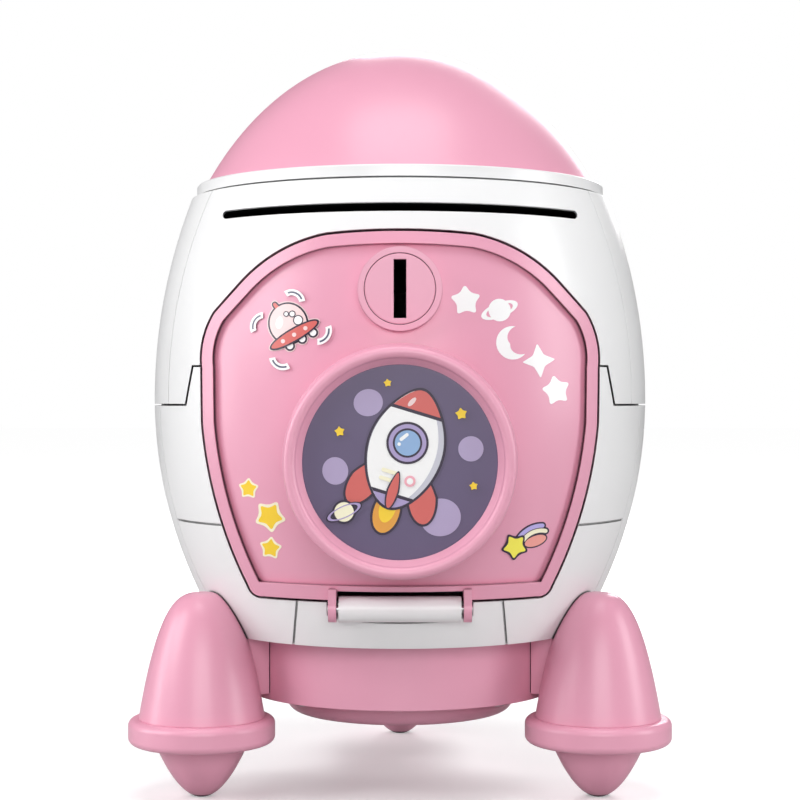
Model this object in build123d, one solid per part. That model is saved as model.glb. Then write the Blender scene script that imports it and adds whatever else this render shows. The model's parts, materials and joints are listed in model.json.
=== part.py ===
from build123d import *
from math import acos, cos, pi, radians, sin, sqrt, tan
import os

# Toy safe coin bank in the shape of a small rocket. Millimetres, +Z up.
# The origin lies on the floor under the rocket's axis, and the safe's door faces -Y.
# Every piece is one node, written to parts/NODE.step.

# ---- egg-shaped body, a surface of revolution made of two arcs that meet at the equator
EQUATOR_Z = 149.5
BODY_R = 97.2
UPPER_ARC = 216.0
LOWER_ARC = 176.0
SHELL_BOTTOM = 59.0
SHELL_TOP = 227.4
WALL = 2.6
SEAM = 0.7                      # open line between two shells
GROOVE = (0.8, 0.9)             # width and depth of the moulded panel lines
LIP = 1.6                       # inner lip that backs a seam
LIP_REACH = 5.0
UPPER_SEAM_Y = -43.0            # front and rear shells part on these planes
LOWER_SEAM_Y = -32.0
PARTING_Z = 146.8               # upper and lower shells part here at the sides
STEP_Z = 161.0                  # and here beside the door
STEP_X = (79.0, 76.0)
FLANGE_HOLE_R = 50.0
TOP_HOLE_R = 70.0

# ---- nose
RING_TOP = 232.6
RING_R = 80.6
RING_GROOVE = (79.0, 0.9)       # neck radius and height of the dark line under the shoulder ring
NOSE_R = 97.4
NOSE_MID_Z = 148.6
NOSE_RISE = 138.0

# ---- door
DOOR_GAP = 1.1
RIM_WIDTH = 4.3
RIM_PROUD = 1.4
SILL_Z = 82.7                   # straight lower edge of the sunken door face
FACE_DROP = 0.6
SKIN_BACK = 2.7
BOX_INSET = 3.0
BOX_WALL = 2.0
LINER_Y = (-53.5, -51.0)
JAMB_Y = -60.0

# ---- dial
DIAL_Z = 127.4
PEDESTAL_R = 40.0
PEDESTAL_Y = -97.4
KNOB_Y = -97.6
KNOB_DEPTH = 15.4
KNOB_R = (40.8, 39.6)
CREST_R = 37.5
DISC_R = 33.3
DISC_FRONT = 10.4
SHAFT_R = 4.0
SHAFT_END_R = 3.0
RUNNING = 0.08                  # radial clearance of a running fit

# ---- latch behind the door liner
MODULE = 1.0
PINION_TEETH = 12
PITCH_R = MODULE * PINION_TEETH / 2
PRESSURE = radians(25)
TOOTH_WIDTH = pi / 2 * MODULE - 0.2
ADDENDUM = 0.9
DEDENDUM = 1.25
BOLT_Y = (-49.4, -44.6)
BOLT_TIP_X = 66.0
BOLT_THICK = 6.0
BOLT_TRAVEL = PITCH_R * pi / 2
COVER_Y = (-44.2, -42.0)
COVER_HALF = (56.0, 17.5)

# ---- slots
NOTE_SLOT_Z = 216.7
NOTE_SLOT_HALF = 65.3
NOTE_SLOT_HIGH = 3.2
COIN_Z = 187.1
COIN_BOSS_R = 14.7
COIN_PLATE_R = 12.4
COIN_SLOT = (4.4, 20.4)
COIN_BOSS_Y = -98.0
COIN_SLOPE = 0.13               # the chute's floor falls towards the chamber

# ---- hinge
HINGE_Y = -79.0
HINGE_Z = 74.1
KNUCKLE_R = 4.65
BARREL_HALF = 21.8
ARM_X = (22.6, 25.5)
RECESS_HALF = 26.2
RECESS_R = 5.6
PIN_R = 1.5

# ---- base
BAND_R = 60.8
BAND_Z = (34.6, 59.0)
PAN_R = 45.2
PAN_Z = 25.8

# ---- boosters, 120 degrees apart, the third one at the rear
BOOSTER_OUT = 86.0
BOOSTER_ANGLES = {"left": 210, "right": 330, "rear": 90}
CONE_R = 23.6
CONE_Z = (29.5, 76.4)
COLLAR_R = 27.5
COLLAR_Z = (20.0, 29.5)
FOOT_FLAT_R = 2.5
FOOT_BOW = 0.0658               # nozzle outline is z = FOOT_BOW * r * r
FOOT_TOP_R = 17.61


def body_radius(z, inset=0.0):
    """Radius of the egg at height z, moved inward by inset."""
    arc = UPPER_ARC if z >= EQUATOR_Z else LOWER_ARC
    return BODY_R - arc + sqrt((arc - inset) ** 2 - (z - EQUATOR_Z) ** 2)


def envelope(inset=0.0, low=SHELL_BOTTOM, high=SHELL_TOP):
    """Solid egg between two heights on both sides of the equator."""
    def spot(z):
        return (body_radius(z, inset), z)

    outline = ThreePointArc(spot(low), spot((low + EQUATOR_Z) / 2), (BODY_R - inset, EQUATOR_Z))
    outline += ThreePointArc((BODY_R - inset, EQUATOR_Z), spot((high + EQUATOR_Z) / 2), spot(high))
    outline += Polyline(spot(high), (0, high), (0, low), spot(low))
    return revolve(Plane.XZ * make_face(outline), Axis.Z)


def block(x, y, z):
    """Box between the given pairs of limits."""
    middle = Pos((x[0] + x[1]) / 2, (y[0] + y[1]) / 2, (z[0] + z[1]) / 2)
    return middle * Box(x[1] - x[0], y[1] - y[0], z[1] - z[0])


def both_sides(half):
    """The shape with its mirror image on the other side of the YZ plane."""
    return half + mirror(half, Plane.YZ)


def upright(radius, z, at=(0, 0)):
    """Cylinder along Z between two heights."""
    return Pos(at[0], at[1], (z[0] + z[1]) / 2) * Cylinder(radius, z[1] - z[0])


def facing(radius, y, at):
    """Cylinder along Y, at gives its x and z."""
    return Pos(at[0], (y[0] + y[1]) / 2, at[1]) * Rot(90, 0, 0) * Cylinder(radius, y[1] - y[0])


def across(radius, x, at=(HINGE_Y, HINGE_Z)):
    """Cylinder along X, at gives its y and z."""
    return Pos((x[0] + x[1]) / 2, at[0], at[1]) * Rot(0, 90, 0) * Cylinder(radius, x[1] - x[0])


def prism_y(face, y=(-125.0, -20.0)):
    """Sketch of x and z, made solid between two depths."""
    return extrude(Plane.XZ.offset(-y[1]) * face, y[1] - y[0])


def prism_x(face, half):
    """Sketch of y and z, made solid from -half to half."""
    return extrude(Plane.YZ.offset(-half) * face, 2 * half)


def spin(outline):
    """Closed outline of radius and height, turned about Z."""
    return revolve(Plane.XZ * make_face(outline), Axis.Z)


def spin_facing(outline, base_y, z):
    """Closed outline of radius and depth, turned about an axis along -Y that starts at base_y."""
    turned = spin(outline)
    return Pos(0, base_y, z) * Rot(90, 0, 0) * turned


def door_outline():
    """Front view of the door, x and z."""
    top = ThreePointArc((-26, 206.6), (0, 207.7), (26, 206.6))
    side = ThreePointArc((26, 206.6), (42, 201.3), (55.6, 191.6))
    side += Line((55.6, 191.6), (67, 180))
    side += ThreePointArc((67, 180), (70.9, 171.5), (71.7, 160))
    side += Line((71.7, 160), (71.4, 140))
    side += ThreePointArc((71.4, 140), (66, 110), (55, 80.8))
    side += ThreePointArc((55, 80.8), (53, 78), (49.5, 77.4))
    bottom = Line((49.5, 77.4), (-49.5, 77.4))
    return make_face(top + side + mirror(side, Plane.YZ) + bottom)


DOOR = door_outline()
OPENING = prism_y(offset(DOOR, amount=DOOR_GAP, kind=Kind.INTERSECTION))


def door_ring(outer, inner, y):
    """Wall that follows the door's outline between two offsets of it."""
    wide = offset(DOOR, amount=outer, kind=Kind.INTERSECTION)
    narrow = offset(DOOR, amount=inner, kind=Kind.INTERSECTION)
    return prism_y(wide, y) - prism_y(narrow, y)


def parting_line(rise):
    """Stepped line between the upper and lower front shells, moved up by rise."""
    side, beside = STEP_X[0] + rise, STEP_X[1] + rise
    low, high = PARTING_Z + rise, STEP_Z + rise
    return [(-110, low), (-side, low), (-beside, high), (beside, high), (side, low), (110, low)]


def front_zone(rise_low, rise_high, y):
    """Space between two copies of the stepped line; None runs out to the shell's own end."""
    lower = [(-110, 40), (110, 40)] if rise_low is None else parting_line(rise_low)
    upper = [(-110, 240), (110, 240)] if rise_high is None else parting_line(rise_high)
    return prism_y(make_face(Polyline(*lower, *reversed(upper), close=True)), y)


def hollow_shell():
    """Whole thin shell with its bottom and top flanges."""
    inside = envelope(WALL, SHELL_BOTTOM + WALL, SHELL_TOP - WALL)
    bottom_hole = upright(FLANGE_HOLE_R, (SHELL_BOTTOM - 1, SHELL_BOTTOM + WALL + 1))
    top_hole = upright(TOP_HOLE_R, (SHELL_TOP - WALL - 1, SHELL_TOP + 1))
    return envelope() - inside - bottom_hole - top_hole - base_screw_holes() - ring_screw_holes()


def on_circle(count, radius, start=0.0):
    """Places spaced evenly on a circle."""
    angles = [radians(start + 360 * i / count) for i in range(count)]
    return [(radius * cos(a), radius * sin(a)) for a in angles]


BASE_SCREWS = on_circle(6, 55.0, 15)
RING_SCREWS = on_circle(6, 75.4, 15)
PAN_SCREWS = on_circle(4, 52.0, 45)
DOOR_SCREWS = [(x, z) for x in (-50, 50) for z in (100, 172)]
COVER_SCREWS = [(x, DIAL_Z + dz) for x in (-46, 46) for dz in (-20.6, 20.6)]
SCREW_R = 1.5


def base_screw_holes():
    return [upright(SCREW_R, (SHELL_BOTTOM - 1, SHELL_BOTTOM + WALL + 1), at) for at in BASE_SCREWS]


def ring_screw_holes():
    return [upright(SCREW_R, (SHELL_TOP - WALL - 1, SHELL_TOP + 1), at) for at in RING_SCREWS]


def lip_band():
    return envelope(WALL) - envelope(WALL + LIP)


def panel_grooves():
    """Fine lines moulded into the lower front shell."""
    wide, deep = GROOVE
    skin = envelope(-1) - envelope(deep)
    level = block((60, 100), (-110, LOWER_SEAM_Y), (103 - wide / 2, 103 + wide / 2))
    slope = Polyline((36.4, 78), (36.4 + wide, 78), (38.7 + wide, 58), (38.7, 58), close=True)
    return skin & both_sides(level + prism_y(make_face(slope)))


def upper_front_shell(shell):
    zone = front_zone(SEAM / 2, None, (-125, UPPER_SEAM_Y - SEAM / 2))
    jamb = door_ring(DOOR_GAP + 2, DOOR_GAP, (-125, JAMB_Y)) & envelope(WALL / 2)
    slot = SlotOverall(2 * NOTE_SLOT_HALF, NOTE_SLOT_HIGH)
    cut = prism_y(Pos(0, NOTE_SLOT_Z) * slot)
    return ((shell + jamb) & zone) - OPENING - cut


def lower_front_shell(shell):
    zone = front_zone(None, -SEAM / 2, (-125, LOWER_SEAM_Y - SEAM / 2))
    jamb = door_ring(DOOR_GAP + 2, DOOR_GAP, (-125, JAMB_Y)) & envelope(WALL / 2)
    trough = across(RECESS_R + 2, (-RECESS_HALF - 2, RECESS_HALF + 2)) & envelope()
    keepers = both_sides(block((60, 90), (-58.5, -51.2), (112, 140))) & envelope(WALL / 2)
    lip = lip_band() & front_zone(-LIP_REACH, LIP_REACH, (-125, UPPER_SEAM_Y - LIP_REACH - 1))
    recess = across(RECESS_R, (-RECESS_HALF, RECESS_HALF))
    body = ((shell + jamb + trough + keepers) & zone) + lip
    return body - OPENING - recess - panel_grooves()


def rear_shell(shell, seam_y, z, lip_z):
    zone = block((-110, 110), (seam_y + SEAM / 2, 110), z)
    lip = lip_band() & block((-110, 110), (seam_y - LIP_REACH, seam_y + LIP_REACH), lip_z)
    return (shell & zone) + lip


def rear_lip_level():
    """Lip that backs the level seam between the two rear shells."""
    span = (PARTING_Z - LIP_REACH, PARTING_Z + LIP_REACH)
    return lip_band() & block((-110, 110), (LOWER_SEAM_Y + LIP_REACH + 1, 110), span)


def screw_up(at, z_head, length, head_up=True):
    """Cross-head screw along Z. The head's bearing face lies at z_head."""
    way = 1 if head_up else -1
    shank = upright(SCREW_R, sorted((z_head - way * length, z_head)), at)
    head = upright(2.8, sorted((z_head, z_head + way * 1.8)), at)
    slot_z = sorted((z_head + way * 0.9, z_head + way * 2))
    cross = Pos(at[0], at[1], sum(slot_z) / 2) * (Box(3.6, 0.8, 1.1) + Box(0.8, 3.6, 1.1))
    return shank + head - cross


def screw_back(at, y_head, length, head_r=2.8):
    """Cross-head screw along Y with its head towards the rear."""
    shank = facing(SCREW_R, (y_head - length, y_head), at)
    head = facing(head_r, (y_head, y_head + 1.8), at)
    cross = Pos(at[0], y_head + 1.45, at[1]) * (Box(3.6, 1.1, 0.8) + Box(0.8, 1.1, 3.6))
    return shank + head - cross


# ---- nose and shoulder

def nose_dome(inset):
    """Solid half of the ellipsoid that the nose follows, moved inward by inset."""
    radius, rise = NOSE_R - inset, NOSE_RISE - inset
    top = (0, NOSE_MID_Z + rise)
    curve = EllipticalCenterArc((0, NOSE_MID_Z), radius, rise, start_angle=0, arc_size=90)
    return spin(curve + Polyline(top, (0, NOSE_MID_Z), (radius, NOSE_MID_Z)))


def nose_cone():
    """Hollow dome with a spigot that sits in the shoulder ring."""
    inner = nose_dome(WALL)
    dome = (nose_dome(0) - inner) & upright(BODY_R, (RING_TOP, 300))
    spigot = upright(72.0, (RING_TOP - 3, RING_TOP + 2)) - upright(69.8, (RING_TOP - 4, RING_TOP + 3))
    shelf = upright(80.0, (RING_TOP, RING_TOP + 2)) - upright(69.8, (RING_TOP - 1, RING_TOP + 3))
    return dome + (shelf & inner) + spigot


def shoulder_ring():
    neck_r, neck_high = RING_GROOVE
    ring = upright(RING_R, (SHELL_TOP + neck_high, RING_TOP))
    outer_edge = ring.edges().filter_by(GeomType.CIRCLE).sort_by(Axis.Z)[-1]
    ring = chamfer(outer_edge, 0.5) + upright(neck_r, (SHELL_TOP, RING_TOP - 1))
    ring -= upright(72.2, (SHELL_TOP - 1, RING_TOP + 1))
    holes = [upright(SCREW_R, (SHELL_TOP - 1, RING_TOP + 1), at) for at in RING_SCREWS]
    heads = [upright(3.0, (SHELL_TOP + 3.2, RING_TOP + 1), at) for at in RING_SCREWS]
    return ring - holes - heads


# ---- slots

def note_chute():
    """Flat tube behind the note slot with a curved tail that turns notes down."""
    def tube(half, high, y):
        return block((-half, half), y, (NOTE_SLOT_Z - high, NOTE_SLOT_Z + high))

    outer = tube(67.2, 3.1, (-100, -46)) & envelope(WALL + 0.05)
    throat = outer - tube(65.9, 1.8, (-110, -40))
    turn = Pos(-46, NOTE_SLOT_Z - 26) * (Circle(29.1) - Circle(27.8))
    quarter = turn & Pos(-46 + 20, NOTE_SLOT_Z - 26 + 20) * Rectangle(40, 40)
    rear_lip = lip_band() & block((-110, 110), (UPPER_SEAM_Y - LIP_REACH - 0.5, 0), (200, 225))
    return throat + prism_x(quarter, 67.2) - rear_lip


def coin_slot_plate():
    plate = facing(COIN_PLATE_R, (COIN_BOSS_Y, COIN_BOSS_Y + 1.6), (0, COIN_Z))
    rim = plate.edges().filter_by(GeomType.CIRCLE).sort_by(Axis.Y)[0]
    plate = fillet(rim, 0.5)
    return plate - prism_y(Pos(0, COIN_Z) * Rectangle(*COIN_SLOT))


def coin_passage(margin, y):
    """Sloped space that a coin slides through, grown by margin."""
    high = COIN_Z + COIN_SLOT[1] / 2 + margin
    low = [COIN_Z - COIN_SLOT[1] / 2 - margin - COIN_SLOPE * (end - COIN_BOSS_Y) for end in y]
    profile = Polyline((y[0], high), (y[1], high), (y[1], low[1]), (y[0], low[0]), close=True)
    return prism_x(make_face(profile), COIN_SLOT[0] / 2 + margin)


COIN_CHUTE_Y = (COIN_BOSS_Y + 1.6, LINER_Y[1] + 0.8)


def coin_chute():
    return coin_passage(1.2, COIN_CHUTE_Y) - coin_passage(0, COIN_CHUTE_Y)


# ---- door

def door_panel():
    """Outer door: curved skin with a raised rim, dial pedestal, coin boss, box walls and arms."""
    skin = (envelope(-RIM_PROUD) - envelope(SKIN_BACK)) & prism_y(DOOR)
    inner = offset(DOOR, amount=-RIM_WIDTH, kind=Kind.INTERSECTION)
    inner -= Pos(0, SILL_Z - 20) * Rectangle(200, 40)
    face = (envelope(-5) - envelope(FACE_DROP)) & prism_y(inner)
    walls = door_ring(-BOX_INSET, -BOX_INSET - BOX_WALL, (-125, LINER_Y[0])) & envelope(WALL / 2)
    hinge_notch = block((-22.4, 22.4), (-100, -40), (70, 80.8 + BOX_INSET))
    front_notch = block((-22.4, 22.4), (-100, -40), (70, 80.8))
    sill = block((-27, 27), (-125, LINER_Y[0]), (83.8, 85.8)) & envelope(WALL / 2)
    cheeks = both_sides(block((22.4, 24.4), (-125, LINER_Y[0]), (80.4, 85.8))) & envelope(WALL / 2)
    panel = (skin - face - front_notch) + (walls - hinge_notch) + sill + cheeks
    panel += [facing(3.6, (-90, LINER_Y[0]), at) & envelope(WALL / 2) for at in DOOR_SCREWS]
    panel += facing(PEDESTAL_R, (PEDESTAL_Y, -72), (0, DIAL_Z)) & front_of_skin()
    panel += facing(COIN_BOSS_R, (COIN_BOSS_Y, -84), (0, COIN_Z)) & front_of_skin()
    panel -= facing(PEDESTAL_R - 2.5, (PEDESTAL_Y + 2.5, LINER_Y[0]), (0, DIAL_Z))
    panel += facing(6.5, (PEDESTAL_Y + 2, -84), (0, DIAL_Z))
    panel -= facing(SHAFT_R + RUNNING, (-120, -60), (0, DIAL_Z))
    panel -= facing(COIN_PLATE_R + 0.1, (-120, COIN_BOSS_Y + 1.6), (0, COIN_Z))
    panel -= coin_passage(1.25, (COIN_BOSS_Y - 2, -40))
    panel -= [facing(SCREW_R, (-66, -50), at) for at in DOOR_SCREWS]
    return panel + hinge_arms()


def front_of_skin():
    """Space in front of the back of the door's skin."""
    return block((-100, 100), (-125, 0), (70, 215)) - envelope(SKIN_BACK)


def hinge_arms():
    knuckle = Pos(HINGE_Y, HINGE_Z) * Circle(KNUCKLE_R)
    neck = Pos(HINGE_Y - 0.4, HINGE_Z + 3.7) * Rectangle(8.0, 7.4)
    arm = extrude(Plane.YZ.offset(ARM_X[0]) * (knuckle + neck), ARM_X[1] - ARM_X[0])
    return both_sides(arm) - across(PIN_R + 0.06, (-30, 30))


def door_liner():
    """Flat back of the door box."""
    plate = prism_y(offset(DOOR, amount=-BOX_INSET, kind=Kind.INTERSECTION), LINER_Y)
    plate -= block((-22.4, 22.4), (-60, -40), (70, 83.8))
    plate -= facing(SHAFT_R + RUNNING, (-60, -40), (0, DIAL_Z))
    plate -= coin_passage(1.25, (-60, -40))
    plate -= [facing(SCREW_R, (-60, -40), at) for at in DOOR_SCREWS + COVER_SCREWS]
    return plate


def hinge_barrel():
    """Fixed knuckle of the hinge with the web that ties it to the shell's trough."""
    web = block((-BARREL_HALF, BARREL_HALF), (HINGE_Y, HINGE_Y + 7), (HINGE_Z - 3.4, HINGE_Z + 1.2))
    web &= across(RECESS_R, (-RECESS_HALF, RECESS_HALF))
    return across(KNUCKLE_R, (-BARREL_HALF, BARREL_HALF)) + web - across(PIN_R + 0.03, (-30, 30))


# ---- dial and latch

def dial_knob():
    """Round knob: half-round crest, recess for the disc, hollow back, stepped shaft."""
    crest = CREST_R - (KNOB_R[1] - CREST_R)
    start = KNOB_DEPTH - (KNOB_R[1] - CREST_R)
    outline = Polyline((0, 0), (KNOB_R[0], 0), (KNOB_R[1], start))
    outline += ThreePointArc((KNOB_R[1], start), (CREST_R, KNOB_DEPTH), (crest, start))
    outline += Polyline((crest, start), (DISC_R, DISC_FRONT), (DISC_R, DISC_FRONT - 1.6),
                        (0, DISC_FRONT - 1.6), (0, 0))
    hollow = Polyline((7, 0), (38.2, 0), (37.2, start - 1.8), (34.0, start - 4.6), (34.0, 6.2),
                      (7, 6.2), (7, 0))
    knob = spin_facing(outline, KNOB_Y, DIAL_Z) - spin_facing(hollow, KNOB_Y, DIAL_Z)
    shaft = facing(SHAFT_R, (KNOB_Y - 1, LINER_Y[1]), (0, DIAL_Z))
    return knob + shaft + shaft_end() - facing(SCREW_R, (-56, BOLT_Y[1] + 1), (0, DIAL_Z))


def shaft_end():
    """D-shaped end of the shaft."""
    end = facing(SHAFT_END_R, (LINER_Y[1] - 1, BOLT_Y[1]), (0, DIAL_Z))
    flat = block((-5, 5), (LINER_Y[1], BOLT_Y[1] + 1), (DIAL_Z + 2.3, DIAL_Z + 5))
    return end - flat


def dial_disc():
    plate = facing(DISC_R, (KNOB_Y - DISC_FRONT, KNOB_Y - DISC_FRONT + 1.6), (0, DIAL_Z))
    return plate


def tooth_half_angle(radius):
    """Half angle of an involute tooth at a radius."""
    base = PITCH_R * cos(PRESSURE)
    roll = acos(min(1.0, base / radius))
    return TOOTH_WIDTH / 2 / PITCH_R + (tan(PRESSURE) - PRESSURE) - (tan(roll) - roll)


def bolt_pinion():
    radii = [PITCH_R - DEDENDUM, PITCH_R * cos(PRESSURE), 5.9, 6.4, PITCH_R + ADDENDUM]
    points = []
    for i in range(PINION_TEETH):
        centre = pi / 2 + 2 * pi * i / PINION_TEETH
        left = [(r, centre - tooth_half_angle(r)) for r in radii]
        right = [(r, centre + tooth_half_angle(r)) for r in reversed(radii)]
        points += [(r * cos(a), r * sin(a)) for r, a in left + right]
    gear = Pos(0, DIAL_Z) * make_face(Polyline(*points, close=True))
    return prism_y(gear, (BOLT_Y[0] + 0.2, BOLT_Y[1] - 0.2)) - shaft_end()


def right_bolt():
    """Rack bolt above the pinion; its rack reaches past the pinion at both ends of its travel."""
    root = DIAL_Z + PITCH_R + DEDENDUM
    tip = DIAL_Z + PITCH_R - ADDENDUM
    tail = -BOLT_TRAVEL - 6.0
    bar = block((tail, BOLT_TIP_X), BOLT_Y, (root, root + BOLT_THICK))
    bar = chamfer(bar.edges().filter_by(Axis.Z).group_by(Axis.X)[-1].sort_by(Axis.Y)[0], 3.0)
    half_root = TOOTH_WIDTH / 2 + DEDENDUM * tan(PRESSURE)
    half_tip = TOOTH_WIDTH / 2 - ADDENDUM * tan(PRESSURE)
    for i in range(-5, 2):
        x = (i + 0.5) * pi * MODULE
        tooth = Polyline((x - half_root, root + 0.1), (x - half_root, root), (x - half_tip, tip),
                         (x + half_tip, tip), (x + half_root, root), (x + half_root, root + 0.1),
                         close=True)
        bar += prism_y(make_face(tooth), BOLT_Y)
    return bar


def left_bolt():
    """The same bolt turned half round about the dial's axis."""
    return Pos(0, 0, DIAL_Z) * Rot(0, 180, 0) * Pos(0, 0, -DIAL_Z) * right_bolt()


def latch_cover():
    """Shallow tray screwed to the liner; the bolts slide through its end walls."""
    half_x, half_z = COVER_HALF
    z = (DIAL_Z - half_z, DIAL_Z + half_z)
    tray = block((-half_x, half_x), (LINER_Y[1], COVER_Y[1]), z)
    tray -= block((2 - half_x, half_x - 2), (LINER_Y[1] - 1, COVER_Y[0]), (z[0] + 2, z[1] - 2))
    flange = block((-half_x, half_x), (LINER_Y[1], LINER_Y[1] + 2), (z[0] - 6.5, z[1] + 6.5))
    flange -= block((2 - half_x, half_x - 2), (-60, -40), (z[0] + 1, z[1] - 1))
    tray += flange
    low = PITCH_R + DEDENDUM - 0.3
    high = low + BOLT_THICK + 0.6
    slot_y = (LINER_Y[1] - 1, BOLT_Y[1] + 0.3)
    tray -= block((half_x - 3, half_x + 3), slot_y, (DIAL_Z + low, DIAL_Z + high))
    tray -= block((-half_x - 3, 3 - half_x), slot_y, (DIAL_Z - high, DIAL_Z - low))
    tray -= facing(3.6, (-50, -40), (0, DIAL_Z))
    return tray - [facing(SCREW_R, (-60, -40), at) for at in COVER_SCREWS]


# ---- base

def chamber_floor():
    """Round floor of the money chamber with a groove underneath that clears the screw heads."""
    low = SHELL_BOTTOM + WALL
    plate = upright(body_radius(low, WALL) - 0.1, (low, low + 2.6))
    return plate - (upright(59.0, (low, low + 1.9)) - upright(48.0, (low, low + 1.9)))


def base_ring():
    band = upright(BAND_R, BAND_Z) - upright(BAND_R - WALL, (BAND_Z[0] - 1, BAND_Z[1] - WALL))
    band -= upright(FLANGE_HOLE_R, (BAND_Z[0], BAND_Z[1] + 1))
    band += [upright(3.6, (BAND_Z[0] + 2.6, BAND_Z[1] - WALL + 0.5), at) for at in PAN_SCREWS]
    band -= [upright(SCREW_R, (BAND_Z[1] - 5, BAND_Z[1] + 1), at) for at in BASE_SCREWS]
    band -= [upright(SCREW_R, (BAND_Z[0], BAND_Z[0] + 14), at) for at in PAN_SCREWS]
    return band - booster_screw_holes()


def bottom_cover():
    """Dished cover that closes the band from below."""
    plate = upright(BAND_R - WALL - 0.1, (BAND_Z[0], BAND_Z[0] + 2.6))
    dish = upright(PAN_R, (PAN_Z, BAND_Z[0]))
    dish = fillet(dish.edges().filter_by(GeomType.CIRCLE).sort_by(Axis.Z)[0], 5.0)
    hollow = upright(PAN_R - WALL, (PAN_Z + WALL, BAND_Z[0] + 3))
    hollow = fillet(hollow.edges().filter_by(GeomType.CIRCLE).sort_by(Axis.Z)[0], 3.5)
    return plate + dish - hollow - [upright(SCREW_R, (BAND_Z[0] - 1, 40), at) for at in PAN_SCREWS]


# ---- boosters, built on their own axis and then set round the body

def at_booster(shape, angle):
    """Turn a shape built for the +X direction round the body's axis."""
    return Rot(0, 0, angle) * Pos(BOOSTER_OUT, 0, 0) * shape


def cone_solid(radius, low, high):
    """Cubic ogive: its height falls with the cube of the radius."""
    curve = Bezier((0, high), (radius / 3, high), (radius * 2 / 3, high), (radius, low))
    return spin(curve + Polyline((radius, low), (0, low), (0, high)))


def booster_cone():
    outer = cone_solid(CONE_R, *CONE_Z)
    inner = cone_solid(CONE_R - WALL, CONE_Z[0], CONE_Z[1] - WALL)
    web = block((BAND_R - BOOSTER_OUT + 0.1, -14), (-6, 6), (37, SHELL_BOTTOM - 0.4))
    return (outer + web) - inner - booster_screw_shafts(SCREW_R)


def booster_screw_shafts(radius):
    """Shank spaces of the two screws that hold a booster, in the booster's own frame."""
    start = BAND_R - WALL - BOOSTER_OUT
    return [Pos(start + 3, 0, z) * Rot(0, 90, 0) * Cylinder(radius, 12) for z in (42, 53)]


def booster_screw_holes():
    holes = []
    for angle in BOOSTER_ANGLES.values():
        holes += [at_booster(hole, angle) for hole in booster_screw_shafts(SCREW_R)]
    return holes


def booster_screws():
    """Six radial screws with their heads inside the band."""
    head_x = BAND_R - WALL - BOOSTER_OUT
    screws = []
    for angle in BOOSTER_ANGLES.values():
        for z in (42, 53):
            shank = Pos(head_x + 3.9, 0, z) * Rot(0, 90, 0) * Cylinder(SCREW_R, 8.2)
            head = Pos(head_x - 1.0, 0, z) * Rot(0, 90, 0) * Cylinder(2.8, 1.8)
            cross = Pos(head_x - 1.7, 0, z) * (Box(1, 3.6, 0.8) + Box(1, 0.8, 3.6))
            screws.append(at_booster(shank + head - cross, angle))
    return Compound(children=screws)


def booster_collar():
    ring = upright(COLLAR_R, COLLAR_Z)
    ring = fillet(ring.edges().filter_by(GeomType.CIRCLE), 2.6)
    return ring - upright(16.0, (COLLAR_Z[0] - 1, COLLAR_Z[1] + 1))


def foot_solid(flat_r, top_r, low):
    """Parabolic nozzle between a small flat and the collar; a parabola is a quadratic Bezier."""
    high = low + FOOT_BOW * (top_r ** 2 - flat_r ** 2)
    knee = ((flat_r + top_r) / 2, low + FOOT_BOW * flat_r * (top_r - flat_r))
    outline = Bezier((flat_r, low), knee, (top_r, high))
    return spin(outline + Polyline((top_r, high), (0, high), (0, low), (flat_r, low)))


def booster_foot():
    foot = foot_solid(FOOT_FLAT_R, FOOT_TOP_R, 0.0) & upright(30, (0, COLLAR_Z[0]))
    hollow = foot_solid(2.0, 15.5, 2.6)
    spigot = upright(16.0, (COLLAR_Z[0] - 1, COLLAR_Z[0] + 7))
    bore = upright(13.6, (COLLAR_Z[0] - 3, COLLAR_Z[0] + 8))
    return (foot + spigot) - hollow - bore


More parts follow.
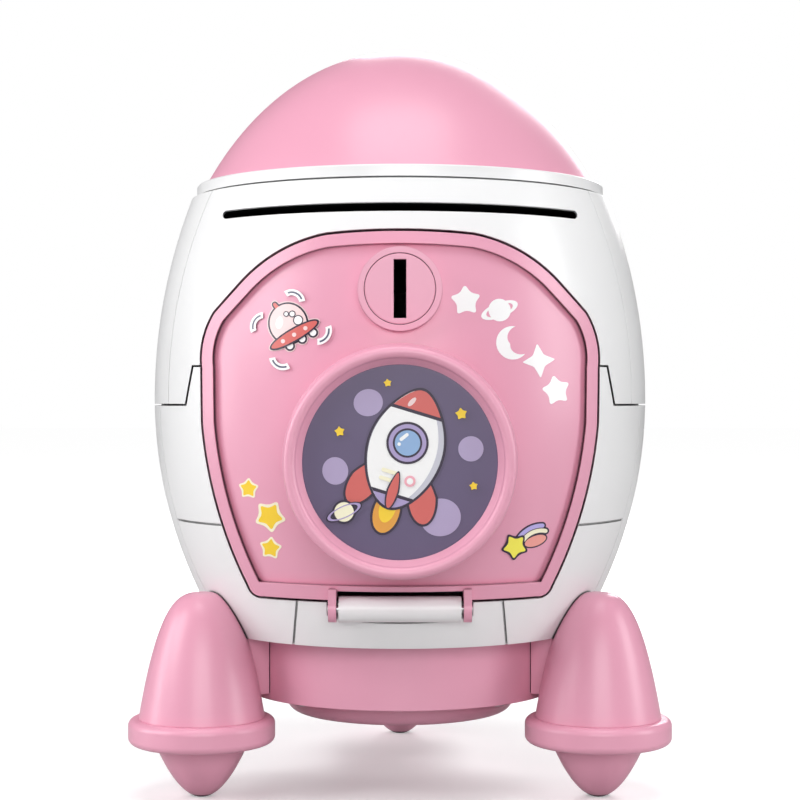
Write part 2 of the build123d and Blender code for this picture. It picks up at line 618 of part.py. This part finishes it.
def build():
    shell = hollow_shell()
    upper = (PARTING_Z + SEAM / 2, 240)
    lower = (40, PARTING_Z - SEAM / 2)
    upper_rear = rear_shell(shell, UPPER_SEAM_Y, upper, (PARTING_Z + LIP_REACH + 1, SHELL_TOP - WALL))
    lower_rear = rear_shell(shell, LOWER_SEAM_Y, lower, (SHELL_BOTTOM + 5.3, PARTING_Z - LIP_REACH - 1))
    screws_z = SHELL_BOTTOM + WALL
    parts = {
        "nose_cone": nose_cone(),
        "shoulder_ring": shoulder_ring(),
        "upper_front_shell": upper_front_shell(shell),
        "lower_front_shell": lower_front_shell(shell),
        "upper_rear_shell": upper_rear,
        "lower_rear_shell": lower_rear + rear_lip_level(),
        "note_chute": note_chute(),
        "chamber_floor": chamber_floor(),
        "base_ring": base_ring(),
        "bottom_cover": bottom_cover(),
        "base_screws": Compound(children=[screw_up(at, screws_z, 6) for at in BASE_SCREWS]),
        "shoulder_screws": Compound(children=[screw_up(at, SHELL_TOP + 3.2, 7) for at in RING_SCREWS]),
        "pan_screws": Compound(children=[screw_up(at, BAND_Z[0], 12, False) for at in PAN_SCREWS]),
        "booster_screws": booster_screws(),
        "hinge_barrel": hinge_barrel(),
        "hinge_pin": across(PIN_R, (-ARM_X[1] - 0.4, ARM_X[1] + 0.4)),
        "door_panel": door_panel(),
        "door_liner": door_liner(),
        "door_screws": Compound(children=[screw_back(at, LINER_Y[1], 12) for at in DOOR_SCREWS]),
        "coin_slot_plate": coin_slot_plate(),
        "coin_chute": coin_chute(),
        "latch_cover": latch_cover(),
        "latch_screws": Compound(children=[screw_back(at, LINER_Y[1] + 2, 5) for at in COVER_SCREWS]),
        "dial_knob": dial_knob(),
        "dial_disc": dial_disc(),
        "bolt_pinion": bolt_pinion(),
        "dial_screw": screw_back((0, DIAL_Z), BOLT_Y[1], 6),
        "left_bolt": left_bolt(),
        "right_bolt": right_bolt(),
    }
    around = envelope(-0.3, SHELL_BOTTOM - 0.4, SHELL_TOP)
    for side, angle in BOOSTER_ANGLES.items():
        parts[side + "_booster_cone"] = at_booster(booster_cone(), angle) - around
        parts[side + "_booster_collar"] = at_booster(booster_collar(), angle)
        parts[side + "_booster_foot"] = at_booster(booster_foot(), angle)
    os.makedirs("parts", exist_ok=True)
    for name, shape in parts.items():
        export_step(shape, "parts/" + name + ".step")
        print(name, round(shape.volume), len(shape.solids()))


build()
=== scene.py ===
import json
from math import cos, pi, radians, sin

import bmesh
import bpy
from mathutils import Matrix, Vector
from mathutils.bvhtree import BVHTree


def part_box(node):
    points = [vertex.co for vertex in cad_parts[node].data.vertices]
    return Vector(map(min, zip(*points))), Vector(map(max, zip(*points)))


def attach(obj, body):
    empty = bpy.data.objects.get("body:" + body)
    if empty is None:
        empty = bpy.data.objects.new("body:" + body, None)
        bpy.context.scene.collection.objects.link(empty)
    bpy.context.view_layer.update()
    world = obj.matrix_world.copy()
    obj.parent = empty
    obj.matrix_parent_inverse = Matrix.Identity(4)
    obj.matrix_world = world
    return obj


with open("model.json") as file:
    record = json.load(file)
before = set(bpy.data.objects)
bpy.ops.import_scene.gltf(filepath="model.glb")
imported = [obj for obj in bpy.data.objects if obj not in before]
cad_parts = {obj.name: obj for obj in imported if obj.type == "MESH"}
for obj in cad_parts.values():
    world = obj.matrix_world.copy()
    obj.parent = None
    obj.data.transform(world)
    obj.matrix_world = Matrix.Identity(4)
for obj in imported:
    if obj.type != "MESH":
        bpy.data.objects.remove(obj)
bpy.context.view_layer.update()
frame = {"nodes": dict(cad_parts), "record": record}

# Looks of a rocket-shaped toy safe: moulded plastics, printed stickers, the dial's picture,
# a pale studio floor, soft lights and the camera. Metres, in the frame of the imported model.

MM = 0.001

# In millimetres: the film under a print, the step from one ink to the next, and the width
# below which a gap between mouldings is darkened with painted shade.
FILM = 0.09
LAYER = 0.025
PAINTED_SHADE_REACH = 1.6

# Studio: strength of the surroundings and of the floor, then each light's place, size and power.
AMBIENT = 0.10
FLOOR_RADIUS = 9.0
FLOOR_BOUNCE = 0.45
FLOOR_GLOW = 0.25
LIT_POINT = Vector((0, 0, 0.15))
LIGHTS = {
    "key_light": ((-1.2, -0.60, 0.80), (0.6, 0.9), 9.0),
    "left_light": ((-1.4, -0.05, 0.40), (0.5, 0.9), 6.4),
    "side_light": ((1.25, -0.35, 0.50), (0.5, 0.9), 7.6),
    "top_light": ((0.0, -0.35, 1.40), (0.9, 0.7), 7.6),
    "front_light": ((0.1, -1.50, 0.55), (0.9, 0.6), 8.4),
    "back_light": ((0.3, 1.50, 0.90), (0.9, 0.9), 14.0),
}

CAMERA_PLACE = (0, -0.720, 0.1486)
CAMERA_LENS = 81.0

NODES = frame["nodes"]


# ---------------------------------------------------------------- shader helpers

class Value:
    """A shader socket that Python's operators work on."""

    def __init__(self, shader, socket):
        self.shader = shader
        self.socket = socket

    def math(self, operation, other):
        return self.shader.node("ShaderNodeMath", {"operation": operation}, {0: self, 1: other})

    def __add__(self, other):
        return self.math("ADD", other)

    __radd__ = __add__

    def __sub__(self, other):
        return self.math("SUBTRACT", other)

    def __rsub__(self, other):
        return (self * -1.0) + other

    def __mul__(self, other):
        return self.math("MULTIPLY", other)

    __rmul__ = __mul__

    def band(self, low, high):
        """Rises smoothly from 0 at low to 1 at high."""
        settings = {"interpolation_type": "SMOOTHSTEP"}
        return self.shader.node("ShaderNodeMapRange", settings, {0: self, 1: low, 2: high})


class Shader:
    """A new material's node tree; node() adds any node and returns its output."""

    def __init__(self, name):
        self.material = bpy.data.materials.new(name)
        self.material.use_nodes = True
        self.tree = self.material.node_tree
        self.surface = self.tree.nodes["Principled BSDF"]
        self.place = self.node("ShaderNodeTexCoord", {}, {}, "Object")

    def node(self, kind, settings=None, inputs=None, output=0):
        made = self.tree.nodes.new(kind)
        for name, value in (settings or {}).items():
            setattr(made, name, value)
        for key, value in (inputs or {}).items():
            self.feed(made.inputs[key], value)
        return Value(self, made.outputs[output])

    def feed(self, socket, value):
        if isinstance(value, Value):
            self.tree.links.new(value.socket, socket)
        else:
            socket.default_value = value

    def set(self, **inputs):
        """Sets the surface's own sockets; underscores stand for spaces."""
        for name, value in inputs.items():
            self.feed(self.surface.inputs[name.replace("_", " ")], value)

    def noise(self, scale, detail=3.0, roughness=0.55):
        inputs = {"Vector": self.place, "Scale": scale, "Detail": detail, "Roughness": roughness}
        return self.node("ShaderNodeTexNoise", {}, inputs, "Fac")

    def mix(self, factor, first, second):
        """Blend of two colours."""
        inputs = {"Factor": factor, 6: first, 7: second}
        return self.node("ShaderNodeMix", {"data_type": "RGBA"}, inputs, 2)

    def rounded(self, radius):
        """Normal that rounds sharp edges."""
        return self.node("ShaderNodeBevel", {"samples": 6}, {"Radius": radius})

    def painted_gap_shade(self, reach):
        """Painted shade mask: 1 in a gap narrower than reach, 0 on open surfaces."""
        settings = {"samples": 8}
        open_part = self.node("ShaderNodeAmbientOcclusion", settings, {"Distance": reach}, "AO")
        return (1 - open_part).band(0.38, 0.85)

    def bump(self, height, distance, under=None, strength=1.0):
        inputs = {"Height": height, "Distance": distance, "Strength": strength}
        if under is not None:
            inputs["Normal"] = under
        return self.node("ShaderNodeBump", {}, inputs)


def tone(colour, factor):
    """The colour made lighter or darker."""
    return tuple(min(1.0, c * factor) for c in colour[:3]) + (1.0,)


def moulding(name, colour, rough=0.34, edge=0.45, grain=0.010, coat=0.12, mottle=0.03):
    """Injection-moulded plastic: faint flow marks, fine skin texture, rounded edges and painted shade
    in narrow gaps.
    """
    shader = Shader(name)
    cloud = shader.noise(14.0, 4.0)
    streaks = shader.noise(60.0, 2.0, 0.4)
    flow = shader.mix(cloud, tone(colour, 1 - mottle), tone(colour, 1 + mottle))
    colour_out = shader.mix(streaks.band(0.62, 0.80) * 0.35, flow, tone(colour, 1 + 2 * mottle))
    # Painted shade: narrow gaps between mouldings are darkened almost to black.
    colour_out = shader.mix(shader.painted_gap_shade(PAINTED_SHADE_REACH * MM), colour_out, tone(colour, 0.05))
    skin = shader.noise(3800.0, 2.0, 0.5)
    waves = shader.noise(210.0, 2.0, 0.4)
    scuffs = shader.noise(900.0, 5.0, 0.7).band(0.60, 0.74)
    normal = shader.bump(skin, grain * MM, shader.rounded(edge * MM), 0.6)
    normal = shader.bump(waves, 0.045 * MM, normal, 0.5)
    shader.set(
        Base_Color=colour_out,
        Roughness=(cloud * 0.10 + (rough - 0.05)) + scuffs * 0.05,
        Normal=normal,
        Coat_Weight=coat,
        Coat_Roughness=0.22,
        IOR=1.49,
    )
    return shader.material


def rough_moulding(name, colour, rough=0.55):
    """Unpolished inner moulding with a spark-eroded texture."""
    shader = Shader(name)
    cloud = shader.noise(22.0, 3.0)
    pits = shader.noise(2600.0, 4.0, 0.65)
    shader.set(
        Base_Color=shader.mix(cloud, tone(colour, 0.93), tone(colour, 1.05)),
        Roughness=pits * 0.22 + (rough - 0.11),
        Normal=shader.bump(pits, 0.05 * MM, shader.rounded(0.3 * MM), 0.8),
        IOR=1.5,
    )
    return shader.material


def plated_steel(name):
    """Zinc-plated steel with turning marks and faint tarnish."""
    shader = Shader(name)
    tarnish = shader.noise(180.0, 4.0)
    marks = shader.noise(5200.0, 3.0, 0.7)
    shader.set(
        Base_Color=shader.mix(tarnish, (0.66, 0.67, 0.69, 1), (0.50, 0.50, 0.49, 1)),
        Metallic=1.0,
        Roughness=tarnish * 0.2 + 0.22,
        Normal=shader.bump(marks, 0.02 * MM, shader.rounded(0.15 * MM), 0.7),
    )
    return shader.material


def vinyl(name, colour, rough=0.36):
    """Printed vinyl: even ink with a very fine dot and a soft film on top."""
    shader = Shader(name)
    dots = shader.noise(5200.0, 1.0, 0.4)
    wash = shader.noise(120.0, 3.0)
    shader.set(
        Base_Color=shader.mix(wash * 0.6 + dots * 0.4, tone(colour, 0.955), tone(colour, 1.03)),
        Roughness=wash * 0.10 + (rough - 0.05),
        Normal=shader.bump(dots, 0.006 * MM, None, 0.5),
        Coat_Weight=0.25,
        Coat_Roughness=0.18,
    )
    return shader.material


WHITE = (0.88, 0.88, 0.885)
PINK = (0.81, 0.372, 0.500)

MATERIALS = {
    "white": moulding("white_moulding", WHITE, rough=0.30),
    "pink": moulding("pink_moulding", PINK, rough=0.34),
    "purple": moulding("dial_print", (0.128, 0.098, 0.188), rough=0.30, mottle=0.05),
    "black": rough_moulding("black_moulding", (0.012, 0.012, 0.014), 0.5),
    "inner": rough_moulding("inner_moulding", (0.76, 0.34, 0.46)),
    "nylon": rough_moulding("nylon", (0.78, 0.77, 0.72), 0.45),
    "steel": plated_steel("plated_steel"),
}

for entry in frame["record"]["subparts"]:
    mesh = NODES[entry["node"]].data
    mesh.materials.clear()
    mesh.materials.append(MATERIALS[entry["material_slot"]])


# ---------------------------------------------------------------- printed shapes

INKS = {
    "paper": vinyl("paper_white", (0.97, 0.97, 0.97)),
    "yellow": vinyl("sun_yellow", (0.97, 0.66, 0.03)),
    "lemon": vinyl("lemon", (0.97, 0.90, 0.10)),
    "amber": vinyl("amber", (0.80, 0.36, 0.05)),
    "blossom": vinyl("blossom", (0.90, 0.68, 0.68)),
    "coral": vinyl("coral", (0.68, 0.135, 0.12)),
    "salmon": vinyl("salmon", (0.90, 0.37, 0.32)),
    "iris": vinyl("iris", (0.50, 0.44, 0.82)),
    "blush": vinyl("blush", (0.90, 0.42, 0.50)),
    "cream": vinyl("cream", (0.97, 0.93, 0.68)),
    "lavender": vinyl("lavender", (0.42, 0.34, 0.60)),
    "lilac": vinyl("lilac", (0.45, 0.37, 0.58)),
    "plum": vinyl("plum", (0.030, 0.018, 0.045)),
    "sky": vinyl("sky_blue", (0.28, 0.45, 0.72)),
    "grey": vinyl("cloud_grey", (0.60, 0.60, 0.68)),
    "slate": vinyl("slate", (0.085, 0.095, 0.16)),
}
INK_ORDER = list(INKS)


class Print:
    """Flat ink shapes in millimetres, to the right and up, each on top of the one before."""

    def __init__(self):
        self.mesh = bmesh.new()
        self.level = 0

    def _finish(self, verts, ink, at, turn):
        self.level += 1
        spot = Matrix.Translation((*at, self.level)) @ Matrix.Rotation(radians(turn), 4, "Z")
        bmesh.ops.transform(self.mesh, matrix=spot, verts=verts)
        for face in {f for v in verts for f in v.link_faces}:
            face.material_index = INK_ORDER.index(ink)

    def disc(self, ink, at, wide, high=None, turn=0, sides=56):
        made = bmesh.ops.create_circle(self.mesh, cap_ends=True, segments=sides, radius=1)
        bmesh.ops.scale(self.mesh, vec=(wide, high or wide, 1), verts=made["verts"])
        self._finish(made["verts"], ink, at, turn)

    def shaped(self, ink, at, wide, high, outline, turn=0, low=-1, top=1, sides=72):
        """A disc whose width at each height, from -1 to 1, is multiplied by outline(height).
        Only the part between low and top is kept."""
        made = bmesh.ops.create_circle(self.mesh, cap_ends=True, segments=sides, radius=1)
        face = made["verts"][0].link_faces[0]
        for height, side in ((low, -1), (top, 1)):
            if abs(height) < 1:
                geom = [*face.verts, *face.edges, face]
                cut = bmesh.ops.bisect_plane(self.mesh, geom=geom, plane_co=(0, height, 0),
                                             plane_no=(0, side, 0), clear_outer=True)
                face = next(g for g in cut["geom"] if isinstance(g, bmesh.types.BMFace))
        verts = list(face.verts)
        for vert in verts:
            vert.co = Vector((vert.co.x * outline(vert.co.y) * wide, vert.co.y * high, 0))
        self._finish(verts, ink, at, turn)

    def star(self, ink, at, radius, waist=0.60, points=5, turn=0, soft=0.17):
        made = bmesh.ops.create_circle(self.mesh, cap_ends=True, segments=2 * points, radius=radius)
        for i, vert in enumerate(made["verts"]):
            vert.co *= waist if i % 2 else 1.0
        rounded = bmesh.ops.bevel(self.mesh, geom=made["verts"], affect="VERTICES", segments=4,
                                  offset=soft * radius, profile=0.5, material=-1)
        verts = {v for f in rounded["faces"] for v in f.verts} | set(rounded["verts"])
        verts = list({w for v in verts for f in v.link_faces for w in f.verts})
        self._finish(verts, ink, at, turn)

    def band(self, ink, at, outer, inner, squash=1.0, start=0, sweep=360, turn=0, horned=False):
        """Part of a ring, or the whole of it. A horned one thins to a point at its ends."""
        edge = bmesh.ops.create_vert(self.mesh, co=(inner, 0, 0))["vert"]
        edge += bmesh.ops.create_vert(self.mesh, co=(outer, 0, 0))["vert"]
        line = self.mesh.edges.new(edge)
        whole = sweep == 360
        made = bmesh.ops.spin(self.mesh, geom=[*edge, line], cent=(0, 0, 0), axis=(0, 0, 1),
                              angle=radians(sweep), steps=max(8, int(sweep / 6)), use_merge=whole)
        verts = {v for v in made["geom_last"] if isinstance(v, bmesh.types.BMVert)} | set(edge)
        reach = set(verts)
        while reach:
            reach = {w for v in reach for e in v.link_edges for w in e.verts} - verts
            verts |= reach
        verts = list(verts)
        for vert in verts:
            if horned and vert.co.length < (outer + inner) / 2:
                along = (vert.co.xy.angle_signed(Vector((1, 0))) % (2 * pi)) / radians(sweep)
                vert.co *= (outer - (outer - inner) * sin(pi * min(1.0, along))) / inner
        bmesh.ops.rotate(self.mesh, verts=verts, matrix=Matrix.Rotation(radians(start), 3, "Z"))
        bmesh.ops.scale(self.mesh, vec=(1, squash, 1), verts=verts)
        self._finish(verts, ink, at, turn)

    def bar(self, ink, start, end, width, tip=1.0):
        """Stripe with round ends that narrows to tip times its width."""
        a, b = Vector(start), Vector(end)
        along = b - a
        made = bmesh.ops.create_circle(self.mesh, cap_ends=True, segments=28, radius=width / 2)
        for vert in made["verts"]:
            if vert.co.x > 0:
                vert.co = Vector((vert.co.x * tip + along.length, vert.co.y * tip, 0))
        turn = along.angle_signed(Vector((1, 0)))
        self._finish(made["verts"], ink, tuple(a), turn * 180 / pi)

    def piece(self, name, body, surface, at, step=2.5):
        """Lays the print on a surface, which gives y for an x and z, all in millimetres."""
        reach = max(max(abs(v.co.x), abs(v.co.y)) for v in self.mesh.verts)
        for axis in ((1, 0, 0), (0, 1, 0)):
            for k in range(-int(reach / step), int(reach / step) + 1):
                geom = [*self.mesh.verts, *self.mesh.edges, *self.mesh.faces]
                bmesh.ops.bisect_plane(self.mesh, geom=geom, dist=1e-4,
                                       plane_co=Vector(axis) * k * step, plane_no=axis)
        for vert in self.mesh.verts:
            x, z = at[0] + vert.co.x, at[1] + vert.co.y
            y = surface(x, z) - FILM - LAYER * vert.co.z
            vert.co = Vector((x, y, z)) * MM
        bmesh.ops.recalc_face_normals(self.mesh, faces=self.mesh.faces)
        for face in self.mesh.faces:
            if face.normal.y > 0:
                face.normal_flip()
        mesh = bpy.data.meshes.new(name)
        self.mesh.to_mesh(mesh)
        self.mesh.free()
        made = bpy.data.objects.new(name, mesh)
        bpy.context.collection.objects.link(made)
        for ink in INK_ORDER:
            mesh.materials.append(INKS[ink])
        film = made.modifiers.new("film", "SOLIDIFY")
        film.thickness = FILM * MM
        film.offset = -1
        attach(made, body)
        return made


door_tree = BVHTree.FromObject(NODES["door_panel"], bpy.context.evaluated_depsgraph_get())


def door_surface(x, z):
    """Depth of the door's face in millimetres, seen from the front."""
    hit = door_tree.ray_cast(Vector((x * MM, -1, z * MM)), Vector((0, 1, 0)))
    return hit[0].y / MM


disc_low, disc_high = (Vector(c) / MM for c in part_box("dial_disc"))
DIAL_Z = (disc_low.z + disc_high.z) / 2


def disc_surface(x, z):
    return disc_low.y


def star_sticker(name, at, radius, tip):
    """Yellow star with a cream border; tip is the direction of one of its points."""
    art = Print()
    art.star("cream", (0, 0), radius * 1.04, turn=tip - 90, waist=0.64, soft=0.19)
    art.star("yellow", (0, 0), radius * 0.84, turn=tip - 90, waist=0.58, soft=0.18)
    art.piece(name, "door", door_surface, at)


def saucer_sticker():
    """Small flying saucer with a glass dome, bubbles and four hover marks."""
    art = Print()
    tilt = 29

    def turned(u, v):
        a = radians(tilt)
        return (u * cos(a) - v * sin(a) - 0.3, u * sin(a) + v * cos(a))

    feet = [turned(u, -5.9) for u in (-3.2, 1.8, 6.2)]
    for layer, grow in (("blossom", 1.0), ("plum", 0.62)):
        art.disc(layer, turned(0, 1.4), 6.6 + grow, 7.0 + grow, turn=tilt)
        art.disc(layer, turned(0, -3.2), 9.4 + grow, 2.0 + grow, turn=tilt)
        art.bar(layer, turned(-0.6, 7.2), turned(-1.0, 9.8), 1.5 + 2 * grow, 0.8)
        for spot in feet:
            art.disc(layer, spot, 1.15 + grow)
    art.bar("coral", turned(-0.6, 7.2), turned(-1.0, 9.8), 1.5, 0.8)
    for spot in feet:
        art.disc("paper", spot, 1.15)
    art.disc("blossom", turned(0, 1.4), 6.6, 7.0, turn=tilt)
    art.disc("paper", turned(-2.6, 3.2), 1.3, 2.2, turn=tilt - 38, sides=24)
    for u, v, size in ((3.7, 0.6, 1.45), (2.9, 3.6, 0.85), (1.0, 4.7, 0.65)):
        art.disc("plum", turned(u, v), size + 0.38)
        art.disc("paper", turned(u, v), size)
    art.disc("plum", turned(0, -3.2), 9.9, 2.5, turn=tilt)
    art.disc("coral", turned(0, -3.2), 9.3, 1.9, turn=tilt)
    for along in (-4.6, 0.0, 4.6):
        art.disc("blossom", turned(along, -3.2), 0.75)
    for (right, up), way in (((-13.4, 2.4), 150), ((1.8, 11.9), 65), ((12.9, -3.7), -35),
                             ((-4.4, -13.8), -115)):
        at = (right - 4.0 * cos(radians(way)), up - 4.0 * sin(radians(way)))
        art.band("paper", at, 5.1, 2.9, start=way - 56, sweep=112)
        art.band("slate", at, 4.3, 3.7, start=way - 44, sweep=88)
    art.piece("saucer_sticker", "door", door_surface, SAUCER_AT)


def white_stickers():
    """Five white cut-outs that climb down the door's shoulder in an arc."""
    def star(art, turn):
        art.star("paper", (0, 0), 5.8, waist=0.58, turn=turn, soft=0.2)

    def moon(art, turn):
        art.band("paper", (-1.6, 0), 5.9, 1.0, start=60 + turn, sweep=240, horned=True)

    def planet(art, turn):
        art.disc("paper", (0, 0), 4.0)
        art.band("paper", (0, 0), 7.0, 5.1, squash=0.38, turn=turn)

    def spark(art, turn):
        art.star("paper", (0, 0), 6.2, waist=0.46, points=4, turn=turn, soft=0.10)

    designs = (("star", star, 76), ("ringed_planet", planet, 22), ("moon", moon, 20),
               ("spark", spark, 96), ("small_star", star, 84))
    for (name, draw, turn), at in zip(designs, WHITE_AT):
        art = Print()
        draw(art, turn)
        art.piece("white_" + name + "_sticker", "door", door_surface, at)


def shooting_star_sticker():
    """Yellow star with three curved tails, outlined in a dark line."""
    art = Print()
    middle = (9.4, -2.5)
    tails = (("iris", 10.6, 8.8, 86), ("cream", 8.8, 7.0, 76))

    def tail(ink, outer, inner, end, grow):
        centre, half = (outer + inner) / 2, (outer - inner) / 2 + grow
        art.band(ink, middle, centre + half, centre - half, start=end, sweep=160 - end)
        tip = (middle[0] + centre * cos(radians(end)), middle[1] + centre * sin(radians(end)))
        art.disc(ink, tip, half)

    for _, outer, inner, end in tails:
        tail("plum", outer, inner, end, 0.45)
    art.disc("plum", (7.6, 1.7), 4.6, 2.35, turn=17)
    for ink, outer, inner, end in tails:
        tail(ink, outer, inner, end, -0.16)
    art.disc("salmon", (7.6, 1.7), 4.1, 1.85, turn=17)
    art.star("plum", (0, 0), 5.5, turn=31, waist=0.64, soft=0.19)
    art.star("lemon", (0, 0), 4.6, turn=31, waist=0.58, soft=0.18)
    art.piece("shooting_star_sticker", "door", door_surface, SHOOTING_AT)


def dial_picture():
    """The dial's print: pale spots, a small white rocket with a porthole, a planet and stars."""
    art = Print()
    spots = ((-10.8, 20.3, 5.0, 4.6), (-22.0, -2.9, 4.4, 4.7),
             (24.1, 4.6, 4.3, 4.3), (13.8, -18.7, 6.9, 6.4))
    for right, up, wide, high in spots:
        art.disc("lilac", (right, up), wide, high, turn=12)
    tilt = -17

    def turned(u, v):
        a = radians(tilt)
        return (u * cos(a) - v * sin(a) + 1.2, u * sin(a) + v * cos(a) + 2.2)

    def nose(v):
        return 1.0 - 0.30 * max(0.0, v) ** 2 - 0.16 * max(0.0, -v) ** 2

    def fin(v):
        return 1.0 - 0.40 * max(0.0, v)

    for ink, grow in (("plum", 0.8), ("amber", 0.0)):
        art.disc(ink, turned(0, -20.0), 4.4 + grow, 7.2 + grow, turn=tilt)
    art.disc("yellow", turned(0, -18.4), 2.8, 5.2, turn=tilt)
    for side in (-1, 1):
        for ink, grow in (("plum", 0.8), ("coral", 0.0)):
            art.shaped(ink, turned(10.2 * side, -12.0), 4.6 + grow, 8.8 + grow, fin, tilt + 20 * side)
    hull = (("plum", 0, 13.5, 21.5), ("grey", 0, 12.6, 20.6), ("paper", -0.9, 11.5, 20.2))
    for ink, aside, wide, high in hull:
        art.shaped(ink, turned(aside, 2.5), wide, high, nose, tilt)
    art.shaped("plum", turned(0, 2.5), 12.6, 20.6, nose, tilt, low=0.60)
    art.shaped("coral", turned(0, 2.5), 12.6, 20.6, nose, tilt, low=0.655)
    art.disc("blossom", turned(-2.6, 18.4), 0.8, 1.9, turn=tilt - 26)
    art.shaped("plum", turned(0, 2.5), 12.6, 20.6, nose, tilt, top=-0.76)
    art.shaped("lavender", turned(0, 2.5), 12.6, 20.6, nose, tilt, top=-0.815)
    for ink, radius in (("plum", 7.2), ("lavender", 6.4), ("plum", 5.0), ("sky", 4.3)):
        art.disc(ink, turned(0, 4.6), radius)
    art.bar("paper", turned(-2.4, 5.2), turned(-1.0, 7.2), 1.2)
    art.disc("paper", turned(-2.6, 3.4), 0.6)
    for drop in (-6.4, -9.2):
        art.bar("cream", turned(-5.2, drop), turned(-0.4, drop), 1.3)
    art.disc("blush", turned(4.6, -7.6), 1.9)
    art.disc("paper", turned(4.6, -7.6), 1.1)
    for ink, grow in (("plum", 0.6), ("coral", 0.0)):
        art.shaped(ink, turned(0, -12.2), 1.6 + grow, 6.2 + grow, fin, tilt)
    art.band("plum", (-19.0, -16.8), 6.6, 4.5, squash=0.36, turn=24)
    art.disc("plum", (-19.0, -16.8), 4.0)
    art.disc("cream", (-19.0, -16.8), 3.3)
    art.band("lavender", (-19.0, -16.8), 6.1, 5.0, squash=0.34, turn=24)
    stars = ((-20.5, 10.5, 1.9), (20.8, 16.5, 2.2), (25.0, -8.0, 1.6), (-4.2, 27.0, 1.5))
    for right, up, size in stars:
        art.star("yellow", (right, up), size, turn=80)
    art.piece("dial_picture", "dial", disc_surface, (0, DIAL_Z), step=100)


# Places of the stickers on the door, as x and z in millimetres.
SAUCER_AT = (-38.4, DIAL_Z + 46.9)
WHITE_AT = ((23.0, DIAL_Z + 55.9), (35.0, DIAL_Z + 52.8), (41.2, DIAL_Z + 41.3),
            (49.2, DIAL_Z + 35.1), (55.7, DIAL_Z + 24.6))
SHOOTING_AT = (41.0, DIAL_Z - 31.0)
star_sticker("upper_star_sticker", (-54.2, DIAL_Z - 10.5), 4.0, 88)
star_sticker("middle_star_sticker", (-46.4, DIAL_Z - 20.2), 6.1, 61)
star_sticker("lower_star_sticker", (-46.4, DIAL_Z - 31.9), 4.4, 84)
saucer_sticker()
white_stickers()
shooting_star_sticker()
dial_picture()


# ---------------------------------------------------------------- studio

def floor():
    """Pale round sheet. Far from the object it glows, so that it runs into the white background."""
    mesh = bmesh.new()
    bmesh.ops.create_circle(mesh, cap_ends=True, segments=96, radius=FLOOR_RADIUS)
    data = bpy.data.meshes.new("studio_floor")
    mesh.to_mesh(data)
    mesh.free()
    made = bpy.data.objects.new("studio_floor", data)
    bpy.context.collection.objects.link(made)
    shader = Shader("studio_floor_paint")
    shade = shader.noise(3.0, 3.0)
    seen = shader.node("ShaderNodeLightPath", output="Is Camera Ray")
    away = shader.node("ShaderNodeVectorMath", {"operation": "LENGTH"}, {0: shader.place}, "Value")
    paint = shader.mix(shade, (0.88, 0.88, 0.885, 1), (0.90, 0.90, 0.90, 1))
    glow = (away.band(0.20, 0.9) * (1 - FLOOR_GLOW) + FLOOR_GLOW) * seen
    shader.set(
        Base_Color=shader.mix(seen, (FLOOR_BOUNCE, FLOOR_BOUNCE, FLOOR_BOUNCE, 1), paint),
        Roughness=0.6,
        Emission_Color=shader.mix(glow, (0.0, 0.0, 0.0, 1), (0.9, 0.9, 0.9, 1)),
        Emission_Strength=1.0,
    )
    data.materials.append(shader.material)


def soft_light(name, place, size, power):
    """Rectangular light aimed at the middle of the object."""
    data = bpy.data.lights.new(name, "AREA")
    data.shape = "RECTANGLE"
    data.size, data.size_y = size
    data.energy = power
    made = bpy.data.objects.new(name, data)
    bpy.context.collection.objects.link(made)
    made.location = place
    made.rotation_euler = (LIT_POINT - Vector(place)).to_track_quat("-Z", "Y").to_euler()


def studio():
    """White surroundings for the camera, a faint glow for the object, and the lights."""
    world = bpy.data.worlds.new("studio")
    world.use_nodes = True
    tree = world.node_tree
    seen = tree.nodes.new("ShaderNodeLightPath")
    strength = tree.nodes.new("ShaderNodeMapRange")
    strength.inputs["To Min"].default_value = AMBIENT
    strength.inputs["To Max"].default_value = 1.0
    tree.links.new(seen.outputs["Is Camera Ray"], strength.inputs["Value"])
    tree.nodes["Background"].inputs["Color"].default_value = (1, 1, 1, 1)
    tree.links.new(strength.outputs["Result"], tree.nodes["Background"].inputs["Strength"])
    scene = bpy.context.scene
    scene.world = world
    scene.view_settings.view_transform = "Standard"
    for name, (place, size, power) in LIGHTS.items():
        soft_light(name, place, size, power)


def camera():
    data = bpy.data.cameras.new("camera")
    data.sensor_width = 36.0
    data.lens = CAMERA_LENS
    data.clip_start = 0.01
    made = bpy.data.objects.new("camera", data)
    bpy.context.collection.objects.link(made)
    made.location = CAMERA_PLACE
    made.rotation_euler = (radians(90), 0, 0)
    bpy.context.scene.camera = made


floor()
studio()
camera()
